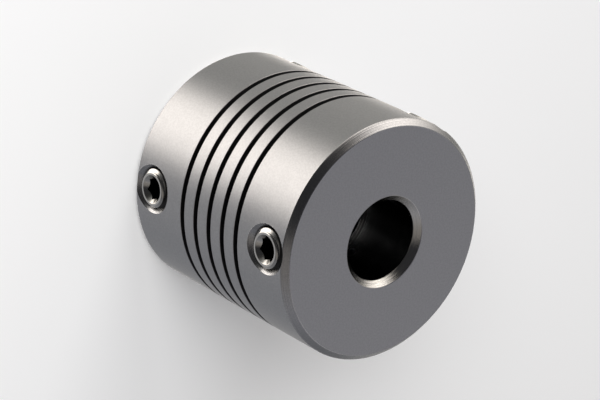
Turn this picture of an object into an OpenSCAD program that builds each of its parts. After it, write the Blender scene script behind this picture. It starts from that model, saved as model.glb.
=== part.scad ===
// Helical beam coupling.
// One turned body joins two hubs with a coiled beam, which a helical slit leaves
// between them, and two set screws in each hub grip the shaft in its bore.
// Z runs along the bore from the base hub to the top hub. The origin is the
// middle of the base hub's end face.

/* [Body] */
// Outside diameter
body_d = 30; // [27:0.5:40]
// Length over both end faces
body_len = 30; // [29:0.5:45]
// Leg of the 45 degree chamfer round each end
end_chamfer = 0.75; // [0.3:0.05:1.2]

/* [Bore] */
// Bore diameter, the same in both hubs
bore_d = 10; // [6:0.5:12]
// Leg of the 45 degree chamfer at each bore mouth
bore_chamfer = 0.75; // [0.3:0.05:1.2]
// Depth of the close bore in each hub, from its end face
bore_depth = 7.7; // [6:0.1:8]
// How much the bore widens in radius between the hubs
relief_step = 0.25; // [0.1:0.05:0.5]

/* [Slit] */
// Turns the slit makes, centred on the body's length
slit_turns = 5; // [3:0.5:6]
// Rise of the slit in one turn
slit_pitch = 2.625; // [1.8:0.025:2.65]
// Width of the slit
slit_w = 0.78; // [0.3:0.02:1]
// Diameter of the radial hole at each end of the slit
slit_end_d = 1.2; // [1:0.1:1.5]
// Straight steps that make up one turn of the slit
slit_steps = 36; // [24:4:60]

/* [Set screws] */
// Thread diameter
screw_d = 5; // [3:1:5]
// Length of a screw
screw_len = 8; // [5:1:9]
// Distance from an end face to the axes of its hub's screws
screw_inset = 3.8; // [3.5:0.1:4.5]
// Direction of each hub's first screw, seen along the bore
screw_dir = -90; // [-180:1:180]
// Angle between the two screws of a hub
screw_spread = 120; // [90:1:120]
// Diameter of the countersink at a screw hole's mouth
sink_d = 6.6; // [5.5:0.1:7]
// Radial clearance of a screw in its hole
screw_gap = 0.02; // [0.01:0.01:0.05]

/* [Screw ends] */
// Hex socket size across flats
hex_af = 2.5; // [1.5:0.5:2.5]
// Depth of the hex socket
hex_depth = 2.5; // [1.5:0.1:3]
// Diameter of the bevel at the socket's mouth
socket_mouth_d = 3.5; // [3:0.1:3.8]
// Slope of that bevel against the screw's end, in degrees
mouth_slope = 50; // [30:5:55]
// Leg of the chamfer round the socket end
screw_chamfer = 0.45; // [0.3:0.05:0.8]
// Diameter of the cup's rim at the point
cup_d = 2.5; // [1.5:0.1:2.5]

/* [Hidden] */
$fn = 96;
body_r = body_d / 2;
bore_r = bore_d / 2;
relief_r = bore_r + relief_step;
hole_r = screw_d / 2;
sink_r = sink_d / 2;
shank_r = hole_r - screw_gap;
cup_r = cup_d / 2;
mouth_r = socket_mouth_d / 2;
slit_rise = slit_turns * slit_pitch;
slit_low = (body_len - slit_rise) / 2;
// The slit is centred half way between the screws, so its ends lie opposite them
slit_dir = screw_dir - screw_spread / 2 - slit_turns * 180;
front_dir = screw_dir;
side_dir = screw_dir - screw_spread;
base_z = screw_inset;
top_z = body_len - screw_inset;
// The cutters start inside the bore and run past the outside
cut_in = bore_r - 1;
cut_out = body_r + 1;

function slit_ring(a, z) = [
    for (c = [[cut_in, -1], [cut_out, -1], [cut_out, 1], [cut_in, 1]])
    [c[0] * cos(a), c[0] * sin(a), z + c[1] * slit_w / 2]
];

function slit_side(i, j, k) = [
    [i * 4 + j, i * 4 + k, i * 4 + 4 + k],
    [i * 4 + j, i * 4 + 4 + k, i * 4 + 4 + j]
];

module coupling_body() {
    color([0.66, 0.66, 0.67])
    difference() {
        turned_blank();
        slit();
        slit_end(0);
        slit_end(slit_turns);
        for (z = [base_z, top_z])
            for (dir = [front_dir, side_dir])
                outward(dir, z) screw_hole();
    }
}

module turned_blank() {
    rotate_extrude()
    polygon([
        [bore_r + bore_chamfer, 0],
        [body_r - end_chamfer, 0],
        [body_r, end_chamfer],
        [body_r, body_len - end_chamfer],
        [body_r - end_chamfer, body_len],
        [bore_r + bore_chamfer, body_len],
        [bore_r, body_len - bore_chamfer],
        [bore_r, body_len - bore_depth],
        [relief_r, body_len - bore_depth - relief_step],
        [relief_r, bore_depth + relief_step],
        [bore_r, bore_depth],
        [bore_r, bore_chamfer]
    ]);
}

// A right-handed helical blade, one four-cornered ring for each step
module slit() {
    steps = slit_turns * slit_steps;
    rings = [
        for (i = [0 : steps])
        slit_ring(slit_dir + i * 360 / slit_steps, slit_low + i * slit_pitch / slit_steps)
    ];
    sides = [
        for (i = [0 : steps - 1])
        for (j = [0 : 3])
        each slit_side(i, j, (j + 1) % 4)
    ];
    caps = [[3, 2, 1, 0], [for (j = [0 : 3]) steps * 4 + j]];
    polyhedron(points = [for (ring = rings) each ring], faces = concat(sides, caps));
}

module slit_end(turns) {
    outward(slit_dir + turns * 360, slit_low + turns * slit_pitch)
    translate([0, 0, cut_in])
    cylinder(d = slit_end_d, h = cut_out - cut_in);
}

// Turns what stands on Z to point outward in the given direction at height z
module outward(dir, z) {
    translate([0, 0, z])
    rotate([0, 0, dir])
    rotate([0, 90, 0])
    children();
}

module screw_hole() {
    sink_depth = sink_r - hole_r;
    translate([0, 0, cut_in])
    cylinder(r = hole_r, h = cut_out - cut_in);
    translate([0, 0, body_r - sink_depth])
    cylinder(r1 = hole_r, r2 = sink_r + 1, h = sink_depth + 1);
}

// Stands on Z with its cup point at the bottom and its socket on top
module set_screw() {
    difference() {
        rotate_extrude()
        polygon([
            [0, cup_r * tan(30)],
            [cup_r, 0],
            [shank_r, shank_r - cup_r],
            [shank_r, screw_len - screw_chamfer],
            [shank_r - screw_chamfer, screw_len],
            [mouth_r, screw_len],
            [0, screw_len - mouth_r * tan(mouth_slope)]
        ]);
        translate([0, 0, screw_len - hex_depth])
        cylinder(d = hex_af / cos(30), h = hex_depth + 1, $fn = 6);
    }
}

// A set screw in its hole, its socket end level with the outside and its
// socket turned by the given angle
module fitted_screw(dir, z, turn) {
    color([0.78, 0.77, 0.75])
    outward(dir, z)
    translate([0, 0, body_r - screw_len])
    rotate([0, 0, turn])
    set_screw();
}

module top_front_screw() {
    fitted_screw(front_dir, top_z, 18);
}

module top_side_screw() {
    fitted_screw(side_dir, top_z, 5);
}

module base_front_screw() {
    fitted_screw(front_dir, base_z, 20);
}

module base_side_screw() {
    fitted_screw(side_dir, base_z, 45);
}

coupling_body();
top_front_screw();
top_side_screw();
base_front_screw();
base_side_screw();
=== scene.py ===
from math import cos, hypot, pi, radians, sin, tan

import bpy
from mathutils import Matrix, Vector


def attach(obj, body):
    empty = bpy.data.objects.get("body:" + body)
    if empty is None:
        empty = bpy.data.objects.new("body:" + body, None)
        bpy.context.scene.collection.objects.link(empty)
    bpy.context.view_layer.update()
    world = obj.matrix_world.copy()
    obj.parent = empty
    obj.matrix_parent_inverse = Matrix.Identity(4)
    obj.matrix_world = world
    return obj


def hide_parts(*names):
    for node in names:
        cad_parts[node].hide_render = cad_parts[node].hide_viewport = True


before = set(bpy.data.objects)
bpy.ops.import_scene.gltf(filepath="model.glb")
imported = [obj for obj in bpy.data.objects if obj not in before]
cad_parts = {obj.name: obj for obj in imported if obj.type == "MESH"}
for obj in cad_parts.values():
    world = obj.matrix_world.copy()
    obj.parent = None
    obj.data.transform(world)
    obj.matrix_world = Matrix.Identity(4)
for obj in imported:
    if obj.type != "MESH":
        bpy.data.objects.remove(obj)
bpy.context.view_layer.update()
mm = 0.001
past = 1.0  # how far a cutter runs past what it cuts, in mm
smoothAngle = 20  # faces that meet at less, in degrees, are shaded as one


def deselectAll():
    if bpy.context.object and bpy.context.object.mode != "OBJECT":
        bpy.ops.object.mode_set(mode="OBJECT")
    bpy.ops.object.select_all(action="DESELECT")


def makeActive(piece):
    deselectAll()
    piece.select_set(True)
    bpy.context.view_layer.objects.active = piece


def near(a, b, reach=0.01):
    return abs(a - b) < reach


def pick(piece, wanted, kind="VERT"):
    # selects in edit mode what passes the test on its place, in mm
    makeActive(piece)
    bpy.ops.object.mode_set(mode="EDIT")
    bpy.ops.mesh.select_mode(type=kind)
    bpy.ops.mesh.select_all(action="DESELECT")
    bpy.ops.object.mode_set(mode="OBJECT")
    mesh = piece.data
    places = [v.co / mm for v in mesh.vertices]
    if kind == "VERT":
        for v in mesh.vertices:
            v.select = bool(wanted(places[v.index]))
    elif kind == "EDGE":
        for e in mesh.edges:
            e.select = all(wanted(places[i]) for i in e.vertices)
    else:
        for p in mesh.polygons:
            p.select = all(wanted(places[i]) for i in p.vertices)
    bpy.ops.object.mode_set(mode="EDIT")


def pickOpenEdges(piece, wanted=lambda p: True):
    # selects in edit mode the edges of one face alone that pass the test
    pick(piece, lambda p: False)
    bpy.ops.mesh.select_mode(type="EDGE")
    bpy.ops.mesh.select_non_manifold(
        use_wire=False, use_multi_face=False, use_non_contiguous=False, use_verts=False)
    bpy.ops.object.mode_set(mode="OBJECT")
    mesh = piece.data
    for v in mesh.vertices:
        v.select = v.select and bool(wanted(v.co / mm))
    for e in mesh.edges:
        e.select = e.select and all(mesh.vertices[i].select for i in e.vertices)
    bpy.ops.object.mode_set(mode="EDIT")


def applyPlace(piece):
    makeActive(piece)
    bpy.ops.object.transform_apply(location=True, rotation=True, scale=True)


def placeAt(piece, matrix):
    piece.matrix_world = matrix
    applyPlace(piece)


def applyModifier(piece, kind, **settings):
    makeActive(piece)
    modifier = piece.modifiers.new(kind.title(), kind)
    for name, value in settings.items():
        setattr(modifier, name, value)
    bpy.ops.object.modifier_apply(modifier=modifier.name)


def tidyMesh(piece, weld=0.00005):
    # welds doubles and turns every face outwards
    pick(piece, lambda p: True)
    bpy.ops.mesh.remove_doubles(threshold=weld * mm)
    bpy.ops.mesh.select_all(action="SELECT")
    bpy.ops.mesh.normals_make_consistent(inside=False)
    bpy.ops.object.mode_set(mode="OBJECT")


def dropOpenFaces(piece):
    # takes out the faces that have an open edge, and what they leave loose
    pickOpenEdges(piece)
    bpy.ops.mesh.delete(type="EDGE")
    bpy.ops.mesh.select_all(action="SELECT")
    bpy.ops.mesh.delete_loose()
    bpy.ops.object.mode_set(mode="OBJECT")


def closeMesh(piece):
    # makes triangles of what the cuts leave, without the slivers folded flat between them
    pick(piece, lambda p: True)
    bpy.ops.mesh.quads_convert_to_tris(quad_method="BEAUTY", ngon_method="BEAUTY")
    dropOpenFaces(piece)
    tidyMesh(piece, weld=0.0005)
    dropOpenFaces(piece)
    tidyMesh(piece)


def cutWith(piece, cutter, how="DIFFERENCE"):
    applyModifier(piece, "BOOLEAN", operation=how, object=cutter, solver="MANIFOLD")
    bpy.data.objects.remove(cutter)


def addSection(name, inner, outer, low, high):
    # an upright rectangle in the XZ plane, one half of a turned piece's section
    deselectAll()
    bpy.ops.mesh.primitive_plane_add(
        size=mm, location=((inner + outer) / 2 * mm, 0, (low + high) / 2 * mm), rotation=(pi / 2, 0, 0))
    piece = bpy.context.object
    piece.name = name
    piece.scale = (outer - inner, high - low, 1)
    applyPlace(piece)
    return piece


def moveCorners(piece, corners, goals, reach=0.0001):
    # moves each corner of a section to its goal, a radius and a height
    moves = [(v.co.copy(), Vector((radius * mm, 0, z * mm))) for v, (radius, z) in zip(corners, goals)]
    for was, goal in moves:
        pick(piece, lambda p: (p * mm - was).length < reach * mm)
        bpy.ops.transform.translate(value=goal - was)
    bpy.ops.object.mode_set(mode="OBJECT")


def spinSection(piece, steps):
    # turns a section's outline right round the bore
    pick(piece, lambda p: True)
    bpy.ops.mesh.delete(type="ONLY_FACE")
    bpy.ops.mesh.select_all(action="SELECT")
    bpy.ops.mesh.spin(steps=steps, angle=2 * pi, center=(0, 0, 0), axis=(0, 0, 1))
    tidyMesh(piece)


def windOutline(piece, turns, rise, steps):
    # winds an outline up about Z, which leaves both ends open
    applyModifier(piece, "SCREW", axis="Z", angle=2 * pi, screw_offset=rise * mm, iterations=turns,
                  steps=steps, render_steps=steps, use_merge_vertices=False)
    tidyMesh(piece)


def addStack(name, stations, corners):
    # a turned solid: a round face that is extruded and resized from ring to ring
    deselectAll()
    radius, height = stations[0]
    bpy.ops.mesh.primitive_circle_add(
        vertices=corners, radius=radius * mm, fill_type="NGON", location=(0, 0, height * mm))
    piece = bpy.context.object
    piece.name = name
    applyPlace(piece)
    bpy.ops.object.mode_set(mode="EDIT")
    bpy.ops.mesh.select_mode(type="FACE")
    bpy.ops.mesh.select_all(action="SELECT")
    for nextRadius, nextHeight in stations[1:]:
        bpy.ops.mesh.extrude_region_move(
            TRANSFORM_OT_translate={"value": (0, 0, (nextHeight - height) * mm)})
        bpy.ops.transform.resize(
            value=(nextRadius / radius, nextRadius / radius, 1), center_override=(0, 0, nextHeight * mm))
        radius, height = nextRadius, nextHeight
    bpy.ops.object.mode_set(mode="OBJECT")
    tidyMesh(piece)
    return piece


def outward(direction, height, out, turn=0):
    # stands what is modelled along Z out from the axis in the given direction
    return (Matrix.Translation((0, 0, height * mm)) @ Matrix.Rotation(radians(direction), 4, "Z")
            @ Matrix.Rotation(pi / 2, 4, "Y") @ Matrix.Translation((0, 0, out * mm))
            @ Matrix.Rotation(radians(turn), 4, "Z"))


# in mm; the chamfer is the same round the ends and at the bore's mouths
body = {
    "radius": 15.0, "length": 30.0, "chamfer": 0.75, "edge": 0.05,
    "boreRadius": 5.0, "boreDepth": 7.7, "relief": 0.25, "steps": 256,
}


def makeBlank():
    length, bore = body["length"], body["boreRadius"]
    depth, relief = body["boreDepth"], body["relief"]
    piece = addSection("coupling_body_metal", bore, body["radius"], 0, length)
    pick(piece, lambda p: True)
    for offset in (body["chamfer"], body["edge"]):
        bpy.ops.mesh.select_all(action="SELECT")
        bpy.ops.mesh.bevel(offset=offset * mm, segments=1, affect="VERTICES")
    # more points on the bore's line make the relief between the hubs
    goals = [(bore, depth), (bore + relief, depth + relief),
             (bore + relief, length - depth - relief), (bore, length - depth)]
    pick(piece, lambda p: near(p.x, bore), "EDGE")
    bpy.ops.mesh.subdivide(number_cuts=len(goals))
    bpy.ops.object.mode_set(mode="OBJECT")
    onBore = sorted((v for v in piece.data.vertices if near(v.co.x / mm, bore)), key=lambda v: v.co.z)
    moveCorners(piece, onBore[1:-1], goals)
    spinSection(piece, body["steps"])
    return piece


# in mm and degrees; the edge is the bevel on both lips
slit = {
    "turns": 5, "rise": 2.625, "width": 0.78, "edge": 0.03, "startAngle": 30.0, "steps": 256,
    "endDiameter": 1.2, "endSteps": 48,
}


def slitLow():
    # the height where the slit starts, which centres it on the body's length
    return (body["length"] - slit["turns"] * slit["rise"]) / 2


def makeSlitCutter():
    half, edge, radius = slit["width"] / 2, slit["edge"], body["radius"]
    piece = addSection("slit_cutter", body["boreRadius"] - past, radius - edge, -half, half)
    # the blade widens past the outside, so that it leaves a fine bevel on both lips
    pick(piece, lambda p: near(p.x, radius - edge))
    bpy.ops.mesh.extrude_region_move(TRANSFORM_OT_translate={"value": ((past + edge) * mm, 0, 0)})
    bpy.ops.transform.resize(value=(1, 1, (half + past + edge) / half), center_override=(0, 0, 0))
    # only the blade's outline is wound
    pick(piece, lambda p: True)
    bpy.ops.mesh.delete(type="ONLY_FACE")
    pick(piece, lambda p: near(p.x, radius - edge), "EDGE")
    bpy.ops.mesh.delete(type="EDGE")
    bpy.ops.object.mode_set(mode="OBJECT")
    windOutline(piece, slit["turns"], slit["rise"], slit["steps"])
    pickOpenEdges(piece)
    bpy.ops.mesh.edge_face_add()
    bpy.ops.object.mode_set(mode="OBJECT")
    tidyMesh(piece)
    start = Matrix.Rotation(radians(slit["startAngle"]), 4, "Z")
    placeAt(piece, Matrix.Translation((0, 0, slitLow() * mm)) @ start)
    return piece


# in mm and degrees; front and side are the directions that a hub's two screws face
screws = {
    "radius": 2.47, "length": 8.0, "chamfer": 0.45, "endEdge": 0.02, "steps": 64,
    "cupRadius": 1.25, "cupSlope": 30, "cupEdge": 0.03,
    "mouthRadius": 1.75, "mouthSlope": 50.0, "mouthEdge": 0.03, "hexAcross": 2.5, "hexDepth": 2.6,
    "pitch": 0.8, "threadDepth": 0.433, "flankAngle": 30, "threadStart": 22,
    "threadTurns": 18, "tapTurns": 16, "turnsBelow": 4,
    "holeGap": 0.03, "sinkRadius": 3.3, "sinkFoot": 1.9, "sinkSteps": 96,
    "fromEnd": 3.8, "front": -90, "side": 150,
    "socketTurns": {
        "top_front_screw": 18, "top_side_screw": 5, "base_front_screw": 20, "base_side_screw": 45,
    },
}


def screwPlaces():
    # for each screw its direction, its height and the turn of its socket
    heights = {"top": body["length"] - screws["fromEnd"], "base": screws["fromEnd"]}
    places = {}
    for name, turn in screws["socketTurns"].items():
        hub, row = name.split("_")[:2]
        places[name] = (screws[row], heights[hub], turn)
    return places


def fitScrew(piece, direction, height, turn):
    # stands a screw, or the tap that cuts its thread, in its hole
    placeAt(piece, outward(direction, height, body["radius"] - screws["length"], turn))


def makeThread(name, radius, turns):
    # one pitch of thread flank is wound up into a rod, which starts below the point
    pitch, depth = screws["pitch"], screws["threadDepth"]
    piece = addSection(name, radius - depth, radius, 0, pitch)
    pick(piece, lambda p: True)
    bpy.ops.mesh.delete(type="ONLY_FACE")
    pick(piece, lambda p: near(p.x, radius))
    bpy.ops.mesh.delete(type="VERT")
    crestFlat = pitch / 8
    flank = depth * tan(radians(screws["flankAngle"]))
    rootFlat = pitch - 2 * flank - crestFlat
    goals = [(radius - depth, rootFlat), (radius, rootFlat + flank), (radius, rootFlat + flank + crestFlat)]
    pick(piece, lambda p: True)
    bpy.ops.mesh.subdivide(number_cuts=len(goals))
    bpy.ops.object.mode_set(mode="OBJECT")
    line = sorted(piece.data.vertices, key=lambda v: v.co.z)
    moveCorners(piece, line[1:-1], goals)
    windOutline(piece, turns, pitch, screws["steps"])
    # both ends are closed to a point
    middle = turns * pitch / 2
    for side in (-1, 1):
        pickOpenEdges(piece, lambda p: (p.z - middle) * side >= 0)
        bpy.ops.mesh.extrude_edges_move()
        bpy.ops.mesh.merge(type="CENTER")
        bpy.ops.object.mode_set(mode="OBJECT")
    start = Matrix.Rotation(radians(screws["threadStart"]), 4, "Z")
    placeAt(piece, Matrix.Translation((0, 0, -screws["turnsBelow"] * pitch * mm)) @ start)
    tidyMesh(piece)
    return piece


def makeSinkCutter():
    # the cone that opens a screw hole's mouth, from inside the thread's root to past the outside
    foot, radius = screws["sinkFoot"], screws["sinkRadius"]
    low = body["radius"] - (radius - foot)
    return addStack("sink_cutter", [(foot, low), (radius + past, body["radius"] + past)], screws["sinkSteps"])


def makeBody():
    piece = makeBlank()
    cutWith(piece, makeSlitCutter())
    for turn in (0, slit["turns"]):
        half = slit["endDiameter"] / 2
        drill = addStack("drill", [(half, body["boreRadius"] - past), (half, body["radius"] + past)],
                         slit["endSteps"])
        placeAt(drill, outward(slit["startAngle"] + turn * 360, slitLow() + turn * slit["rise"], 0))
        cutWith(piece, drill)
    for direction, height, turn in screwPlaces().values():
        sink = makeSinkCutter()
        placeAt(sink, outward(direction, height, 0))
        cutWith(piece, sink)
        tap = makeThread("tap", screws["radius"] + screws["holeGap"], screws["tapTurns"])
        fitScrew(tap, direction, height, turn)
        cutWith(piece, tap)
    closeMesh(piece)
    return piece


def hexCorner():
    # how far the socket's corners lie from its axis
    return screws["hexAcross"] / 2 / cos(radians(30))


def makeScrew():
    length, radius, chamfer = screws["length"], screws["radius"], screws["chamfer"]
    cup, mouth = screws["cupRadius"], screws["mouthRadius"]
    cupEdge, mouthEdge, endEdge = screws["cupEdge"], screws["mouthEdge"], screws["endEdge"]
    screw = addStack("set_screw", [
        (cup - cupEdge, cupEdge), (cup + cupEdge, cupEdge), (radius, radius - cup),
        (radius, length - chamfer), (radius - chamfer + endEdge, length - endEdge),
        (radius - chamfer - endEdge, length),
        (mouth + mouthEdge, length), (mouth - endEdge, length - endEdge)], screws["steps"] * 2)
    # the cup at the point and the cone of the socket's mouth
    cupDepth = cup * tan(radians(screws["cupSlope"]))
    mouthDepth = mouth * tan(radians(screws["mouthSlope"]))
    for height, move in ((cupEdge, cupDepth), (length - endEdge, -mouthDepth)):
        pick(screw, lambda p: near(p.z, height), "FACE")
        bpy.ops.mesh.poke()
        bpy.ops.object.mode_set(mode="OBJECT")
        pick(screw, lambda p: near(hypot(p.x, p.y), 0) and near(p.z, height))
        bpy.ops.transform.translate(value=(0, 0, move * mm))
        bpy.ops.object.mode_set(mode="OBJECT")
    tidyMesh(screw)
    cutWith(screw, makeThread("thread", radius, screws["threadTurns"]), "INTERSECT")
    deselectAll()
    depth = screws["hexDepth"]
    bpy.ops.mesh.primitive_cylinder_add(
        vertices=6, radius=hexCorner() * mm, depth=(depth + past) * mm,
        location=(0, 0, (length - depth + (depth + past) / 2) * mm), rotation=(0, 0, pi / 2))
    socket = bpy.context.object
    applyPlace(socket)
    cutWith(screw, socket)
    closeMesh(screw)
    return screw


print("turning the body")
bodyPiece = makeBody()
print("body faces", len(bodyPiece.data.polygons))
print("cutting the set screws")
screwModel = makeScrew()
print("screw faces", len(screwModel.data.polygons))
screwPieces = {}
for name, (direction, height, turn) in screwPlaces().items():
    copied = screwModel.copy()
    copied.data = screwModel.data.copy()
    copied.name = name + "_metal"
    bpy.context.scene.collection.objects.link(copied)
    fitScrew(copied, direction, height, turn)
    screwPieces[name] = copied
bpy.data.objects.remove(screwModel)

for piece in [bodyPiece, *screwPieces.values()]:
    makeActive(piece)
    bpy.ops.object.shade_smooth_by_angle(angle=radians(smoothAngle))


class Link:
    # a socket in a node tree, so that shader maths reads as Python expressions
    def __init__(self, tree, socket=None):
        self.tree, self.socket = tree, socket

    def node(self, kind, settings=None, inputs=None, output=0):
        made = self.tree.nodes.new("ShaderNode" + kind)
        for name, value in (settings or {}).items():
            setattr(made, name, value)
        for name, value in (inputs or {}).items():
            if isinstance(value, Link):
                self.tree.links.new(value.socket, made.inputs[name])
            else:
                made.inputs[name].default_value = value
        return Link(self.tree, made.outputs[output] if made.outputs else None)

    def maths(self, operation, *values):
        return self.node("Math", {"operation": operation}, dict(enumerate(values)))

    def __add__(self, other):
        return self.maths("ADD", self, other)

    def __radd__(self, other):
        return self.maths("ADD", other, self)

    def __sub__(self, other):
        return self.maths("SUBTRACT", self, other)

    def __rsub__(self, other):
        return self.maths("SUBTRACT", other, self)

    def __mul__(self, other):
        return self.maths("MULTIPLY", self, other)

    def __rmul__(self, other):
        return self.maths("MULTIPLY", other, self)

    def __truediv__(self, other):
        return self.maths("DIVIDE", self, other)

    def __rtruediv__(self, other):
        return self.maths("DIVIDE", other, self)

    def root(self):
        return self.maths("SQRT", self)

    def size(self):
        return self.maths("ABSOLUTE", self)

    def most(self, other):
        return self.maths("MAXIMUM", self, other)

    def step(self, low, high):
        # 0 below low, 1 above high, smooth between
        return self.node("MapRange", {"interpolation_type": "SMOOTHSTEP"},
                         {"Value": self, "From Min": low, "From Max": high})

    def beyond(self, edge, seam):
        # 0 before an edge, 1 past it, smooth along the seam
        start, end = seam
        return self.step(edge + start, edge + end)

    def choose(self, first, second):
        # first where self is 0, second where it is 1, for numbers
        return first + self * (second - first)

    def blend(self, first, second):
        # the same for colours, whose sockets on a Mix node are 6 and 7, and 2 for the result
        return self.node("Mix", {"data_type": "RGBA"}, {0: self, 6: first, 7: second}, 2)


def newMaterial(name):
    material = bpy.data.materials.new(name)
    material.use_nodes = True
    material.node_tree.nodes.clear()
    return material, Link(material.node_tree)


def grey(value):
    return (value, value, value, 1)


def placeInMm(net):
    # the coordinates of a piece's surface, and each of the three in mm
    coords = net.node("TexCoord", output="Object")
    return [coords] + [net.node("SeparateXYZ", inputs={0: coords}, output=i) / mm for i in range(3)]


def fromScrew(x, y, z):
    # how far a point lies from the axis of the nearest screw, and how far out along it
    first, second = radians(screws["front"]), radians(screws["side"])
    out = (x * cos(first) + y * sin(first)).most(x * cos(second) + y * sin(second))
    fold = (z - body["length"] / 2).size() - (body["length"] / 2 - screws["fromEnd"])
    return (x * x + y * y - out * out + fold * fold).root(), out


# lengths in mm; a seam is where one finish goes over into the next, from and to, counted from its edge
bodyFinish = {
    "colour": (0.52, 0.52, 0.53, 1), "darkGrain": (0.47, 0.47, 0.48, 1), "roughness": 0.40,
    "grainRange": (0.35, 0.65), "grainScale": 4500.0, "grainDepth": 0.02, "bumpStrength": 0.5,
    "mottle": 0.06, "mottleScale": 1200.0,
    "turnedRoughness": 0.25, "turnedPitch": 0.4, "turnedDepth": 0.03, "ringsAcross": 2,
    "mouthColour": (0.64, 0.63, 0.61, 1), "mouthRoughness": 0.13, "mouthDepth": 0.018,
    # the bore's colours are painted shade, near black, and painted reflection streaks
    "boreShade": (0.03, 0.032, 0.035, 1), "boreGlint": (0.60, 0.62, 0.63, 1), "borePitch": 0.5,
    "streakRange": (0.5, 0.75), "streakReach": (6, 8.5),
    # the colour of the slit's walls is painted shade
    "slitShade": (0.15, 0.15, 0.16, 1), "cutRoughness": 0.5,
    # the colour for the lower part of each countersink, next to the screw, is painted shade
    "sinkRoughness": 0.18, "sinkShade": (0.22, 0.22, 0.22, 1),
    "seams": {
        "boreRim": (-0.03, 0), "mouth": (-0.05, 0), "deepBore": (0, 0.1), "chamfer": (-0.12, -0.04),
        "innerWall": (0.3, 0.5), "slitLip": (-0.01, 0.01), "slitEnd": (0, 0.1),
        "sink": (0.01, 0.04), "lowSink": (-0.65, -0.45),
    },
}


def makeBodyMetal():
    finish, seams = bodyFinish, bodyFinish["seams"]
    material, net = newMaterial("blasted_metal")
    coords, x, y, z = placeInMm(net)
    radius, bore, chamfer, half = body["radius"], body["boreRadius"], body["chamfer"], body["length"] / 2
    fromAxis = (x * x + y * y).root()
    fromMiddle = (z - half).size()
    off, out = fromScrew(x, y, z)

    # the bore and its chamfers, the chamfers at both ends, the slit's walls, and the countersinks
    inBore = 1 - fromAxis.beyond(bore + chamfer, seams["boreRim"])
    nearEnd = fromMiddle.beyond(half - chamfer, seams["mouth"])
    atMouth = nearEnd * inBore
    deepBore = (1 - fromAxis.beyond(bore + body["relief"], seams["deepBore"])) * (1 - nearEnd)
    onChamfer = (fromAxis + fromMiddle).beyond(radius + half - chamfer, seams["chamfer"])
    inWall = fromAxis.beyond(bore, seams["innerWall"])
    inWall = inWall * (1 - fromAxis.beyond(radius - slit["edge"], seams["slitLip"]))
    slitReach = (slit["turns"] * slit["rise"] + slit["endDiameter"]) / 2
    inSlit = inWall * (1 - fromMiddle.beyond(slitReach, seams["slitEnd"]))
    inSink = 1 - (off + radius - out).beyond(screws["sinkRadius"], seams["sink"])
    lowSink = inSink * (1 - out.beyond(radius, seams["lowSink"]))

    mottle = net.node("TexNoise", inputs={"Vector": coords, "Scale": finish["mottleScale"], "Detail": 4.0})
    grain = net.node("TexNoise", inputs={"Vector": coords, "Scale": finish["grainScale"], "Detail": 3.0})
    colour = grain.step(*finish["grainRange"]).blend(finish["darkGrain"], finish["colour"])
    # painted reflection streaks in rings along the bore, out to 6 to 8.5 mm from the middle, over the bore's
    # painted shade
    streak = net.node("TexNoise", {"noise_dimensions": "1D"}, {"W": z / finish["borePitch"], "Detail": 3.0})
    streak = streak.step(*finish["streakRange"]) * (1 - fromMiddle.step(*finish["streakReach"]))
    colour = deepBore.blend(colour, streak.blend(finish["boreShade"], finish["boreGlint"]))
    colour = atMouth.blend(colour, finish["mouthColour"])
    # painted shade on the slit's walls
    colour = inSlit.blend(colour, finish["slitShade"])
    # painted shade on the lower part of each countersink
    colour = lowSink.blend(colour, finish["sinkShade"])
    turned = inBore.most(onChamfer)
    roughness = finish["roughness"] + (mottle - 0.5) * finish["mottle"]
    roughness = roughness + turned * (finish["turnedRoughness"] - finish["roughness"])
    roughness = roughness + atMouth * (finish["mouthRoughness"] - finish["turnedRoughness"])
    roughness = roughness + inSlit * (finish["cutRoughness"] - finish["roughness"])
    roughness = roughness + inSink * (finish["sinkRoughness"] - finish["roughness"])

    # fine grain outside, and rings left by the turning tool on what was cut after it
    across = finish["ringsAcross"]
    alongCut = inSink.choose(fromAxis * across + z, off * across)
    rings = net.node("TexNoise", {"noise_dimensions": "1D"},
                     {"W": alongCut / finish["turnedPitch"], "Detail": 2.0})
    isCut = turned.most(inSink)
    ringDepth = atMouth.choose(finish["turnedDepth"], finish["mouthDepth"])
    height = (1 - isCut) * grain * finish["grainDepth"] + isCut * rings * ringDepth
    bump = net.node("Bump", inputs={"Strength": finish["bumpStrength"], "Distance": mm, "Height": height})
    shader = net.node("BsdfPrincipled", inputs={
        "Base Color": colour, "Metallic": 1.0, "Roughness": roughness, "Normal": bump})
    net.node("OutputMaterial", inputs={"Surface": shader})
    return material


screwFinish = {
    # the dark colour is painted shade in the socket and on the thread
    "colour": (0.62, 0.61, 0.59, 1), "shadeColour": (0.05, 0.05, 0.05, 1),
    "roughness": 0.20, "darkRoughness": 0.4, "mottle": 0.08, "mottleScale": 2500.0,
    "turnedPitch": 0.08, "turnedDepth": 0.004, "bumpStrength": 0.4,
    "seams": {
        "cone": (-0.12, -0.04), "hexWall": (0.02, 0.06), "root": (-0.14, -0.04), "shoulder": (-0.11, -0.03),
    },
}


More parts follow.
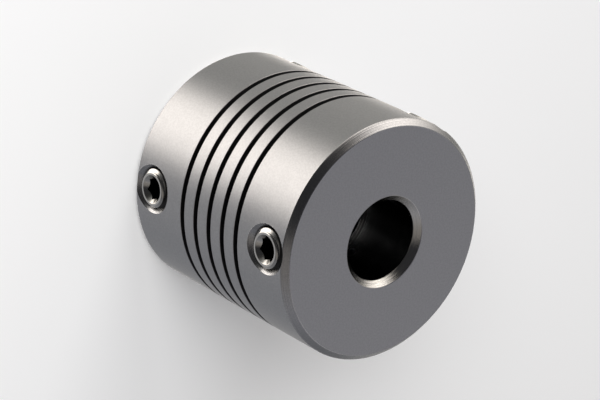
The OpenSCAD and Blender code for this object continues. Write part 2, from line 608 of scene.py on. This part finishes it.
def makeScrewMetal():
    finish, seams = screwFinish, screwFinish["seams"]
    material, net = newMaterial("screw_steel")
    coords, x, y, z = placeInMm(net)
    off, out = fromScrew(x, y, z)
    # the socket's walls and the thread carry painted shade, a dark colour; the turned end and its cone are
    # bright
    slope = tan(radians(screws["mouthSlope"]))
    cone = out - off * slope
    inSocket = 1 - cone.beyond(body["radius"] - screws["mouthRadius"] * slope, seams["cone"])
    inSocket = inSocket * (1 - off.beyond(hexCorner(), seams["hexWall"]))
    onThread = off.beyond(screws["radius"] - screws["threadDepth"], seams["root"])
    onThread = onThread * (1 - out.beyond(body["radius"] - screws["chamfer"], seams["shoulder"]))
    dark = inSocket.most(onThread)
    colour = dark.blend(finish["colour"], finish["shadeColour"])
    mottle = net.node("TexNoise", inputs={"Vector": coords, "Scale": finish["mottleScale"], "Detail": 3.0})
    roughness = finish["roughness"] + (mottle - 0.5) * finish["mottle"]
    roughness = roughness + dark * (finish["darkRoughness"] - finish["roughness"])
    rings = net.node("TexNoise", {"noise_dimensions": "1D"},
                     {"W": off / finish["turnedPitch"], "Detail": 2.0})
    height = (1 - dark) * rings * finish["turnedDepth"]
    bump = net.node("Bump", inputs={"Strength": finish["bumpStrength"], "Distance": mm, "Height": height})
    shader = net.node("BsdfPrincipled", inputs={
        "Base Color": colour, "Metallic": 1.0, "Roughness": roughness, "Normal": bump})
    net.node("OutputMaterial", inputs={"Surface": shader})
    return material


print("making the materials")
bodyMetal, screwMetal = makeBodyMetal(), makeScrewMetal()
bodyPiece.data.materials.clear()
bodyPiece.data.materials.append(bodyMetal)
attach(bodyPiece, "root")
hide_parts("coupling_body")
for name, piece in screwPieces.items():
    piece.data.materials.clear()
    piece.data.materials.append(screwMetal)
    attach(piece, "root")
    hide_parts(name)


def toward(azimuth, elevation):
    a, e = radians(azimuth), radians(elevation)
    return Vector((cos(a) * cos(e), sin(a) * cos(e), sin(e)))


# in degrees, metres and, for the lens, mm
camera = {
    "azimuth": -117.51, "elevation": 45.95, "roll": -116.6, "distance": 0.2923,
    "aim": (-0.00020, -0.00045, 0.01452), "lens": 144.08, "sensor": 36, "clip": (0.01, 10),
}


def makeCamera():
    data = bpy.data.cameras.new("camera")
    data.lens, data.sensor_width = camera["lens"], camera["sensor"]
    data.clip_start, data.clip_end = camera["clip"]
    made = bpy.data.objects.new("camera", data)
    bpy.context.scene.collection.objects.link(made)
    back = toward(camera["azimuth"], camera["elevation"])
    upright = (-back).to_track_quat("-Z", "Y").to_matrix().to_4x4()
    place = Matrix.Translation(Vector(camera["aim"]) + back * camera["distance"])
    made.matrix_world = place @ upright @ Matrix.Rotation(radians(-camera["roll"]), 4, "Z")
    bpy.context.scene.camera = made


# the size is in metres, and only the camera sees the glow
floorLook = {"size": 3.0, "cuts": 8, "colour": (0.757, 0.757, 0.757, 1), "roughness": 0.9, "glow": 0.205}


def makeFloor():
    deselectAll()
    bpy.ops.mesh.primitive_grid_add(
        x_subdivisions=floorLook["cuts"], y_subdivisions=floorLook["cuts"], size=floorLook["size"])
    floor = bpy.context.object
    floor.name = "floor"
    material, net = newMaterial("pale_floor")
    isCamera = net.node("LightPath", output="Is Camera Ray")
    shader = net.node("BsdfPrincipled", inputs={
        "Base Color": floorLook["colour"], "Roughness": floorLook["roughness"], "Specular IOR Level": 0.0,
        "Emission Color": grey(1), "Emission Strength": isCamera * floorLook["glow"]})
    net.node("OutputMaterial", inputs={"Surface": shader})
    floor.data.materials.append(material)
    # the metal mirrors the soft boxes of the studio, as on a stand of glass
    floor.visible_glossy = False


# angles in degrees; a soft box's width and height are half sizes, as shares of its distance
sky = {
    "above": 0.436, "level": 0.177, "below": 0.411,
    "warm": (1.14, 1.13, 1.06, 1), "cool": (0.97, 0.985, 1.04, 1), "warmFrom": 142,
    "high": (0.93, 0.93, 1.04, 1), "pale": 0.88,
    "darkness": {"inner": 45, "outer": 83, "strength": 0.032},
    "boxColour": (1.04, 0.965, 0.885, 1), "boxFront": (0, 0.1),
    # azimuth, elevation, width, height, softness of the edge, strength
    "boxes": [
        (-132, -56, 0.36, 0.48, 0.16, 2.09),
        (68, -52, 0.25, 0.13, 0.15, 4.6),
        (151, 2, 0.50, 0.36, 0.8, 2.65),
        (-16, 45, 1.0, 0.29, 0.35, 0.215),
        (-56, -71, 0.22, 0.77, 0.8, 0.12),
        (93, -32, 0.34, 0.17, 0.6, 0.89),
        (36, -35, 0.26, 0.27, 0.45, 0.15),
    ],
}


def makeSky():
    world = bpy.data.worlds.new("studio")
    bpy.context.scene.world = world
    world.use_nodes = True
    world.node_tree.nodes.clear()
    net = Link(world.node_tree)
    coords = net.node("TexCoord", output="Generated")
    heading = net.node("VectorMath", {"operation": "NORMALIZE"}, {0: coords})

    def along(axis):
        return net.node("VectorMath", {"operation": "DOT_PRODUCT"}, {0: heading, 1: axis}, "Value")

    def softBox(azimuth, elevation, width, height, softness, strength):
        # a soft-edged oval, seen only on its own side of the sky
        middle, side = toward(azimuth, elevation), toward(azimuth + 90, 0)
        across, upright = along(side) / width, along(middle.cross(side)) / height
        edge = (across * across + upright * upright).root()
        shape = 1 - edge.step(1 - softness, 1 + softness)
        return shape * along(middle).step(*sky["boxFront"]) * strength

    up = along((0, 0, 1))
    light = sky["level"] + up.most(0) * (sky["above"] - sky["level"])
    light = light + (0 - up).most(0) * (sky["below"] - sky["level"])
    # a dark room behind the camera
    dark = sky["darkness"]
    room = along(toward(camera["azimuth"], camera["elevation"]))
    room = room.step(cos(radians(dark["outer"])), cos(radians(dark["inner"])))
    light = room.choose(light, dark["strength"])
    tint = along(toward(sky["warmFrom"], 0)).step(-1, 1).blend(sky["cool"], sky["warm"])
    tint = up.most(0).blend(tint, sky["high"])
    plain = net.node("Background", inputs={"Color": tint, "Strength": light})
    boxes = sum(softBox(*box) for box in sky["boxes"])
    lit = net.node("Background", inputs={"Color": sky["boxColour"], "Strength": boxes})
    both = net.node("AddShader", inputs={0: plain, 1: lit})
    pale = net.node("Background", inputs={"Color": grey(1), "Strength": sky["pale"]})
    isCamera = net.node("LightPath", output="Is Camera Ray")
    net.node("OutputWorld", inputs={"Surface": net.node("MixShader", inputs={0: isCamera, 1: both, 2: pale})})


# in degrees, metres and watts
lamps = [
    {"azimuth": 176, "elevation": 37, "distance": 0.615, "size": 0.29, "energy": 1.23},
    {"azimuth": 221, "elevation": 41, "distance": 0.50, "size": 0.32, "energy": 1.91},
]


def makeLamp(lamp):
    data = bpy.data.lights.new("soft_lamp", "AREA")
    data.shape, data.size, data.energy = "DISK", lamp["size"], lamp["energy"]
    made = bpy.data.objects.new("soft_lamp", data)
    bpy.context.scene.collection.objects.link(made)
    back = toward(lamp["azimuth"], lamp["elevation"])
    made.location = back * lamp["distance"]
    made.rotation_euler = back.to_track_quat("Z", "Y").to_euler()
    made.visible_glossy = False  # the metal mirrors the soft boxes instead


print("setting the studio")
makeFloor()
makeSky()
for lamp in lamps:
    makeLamp(lamp)
makeCamera()
bpy.context.scene.view_settings.view_transform = "Standard"
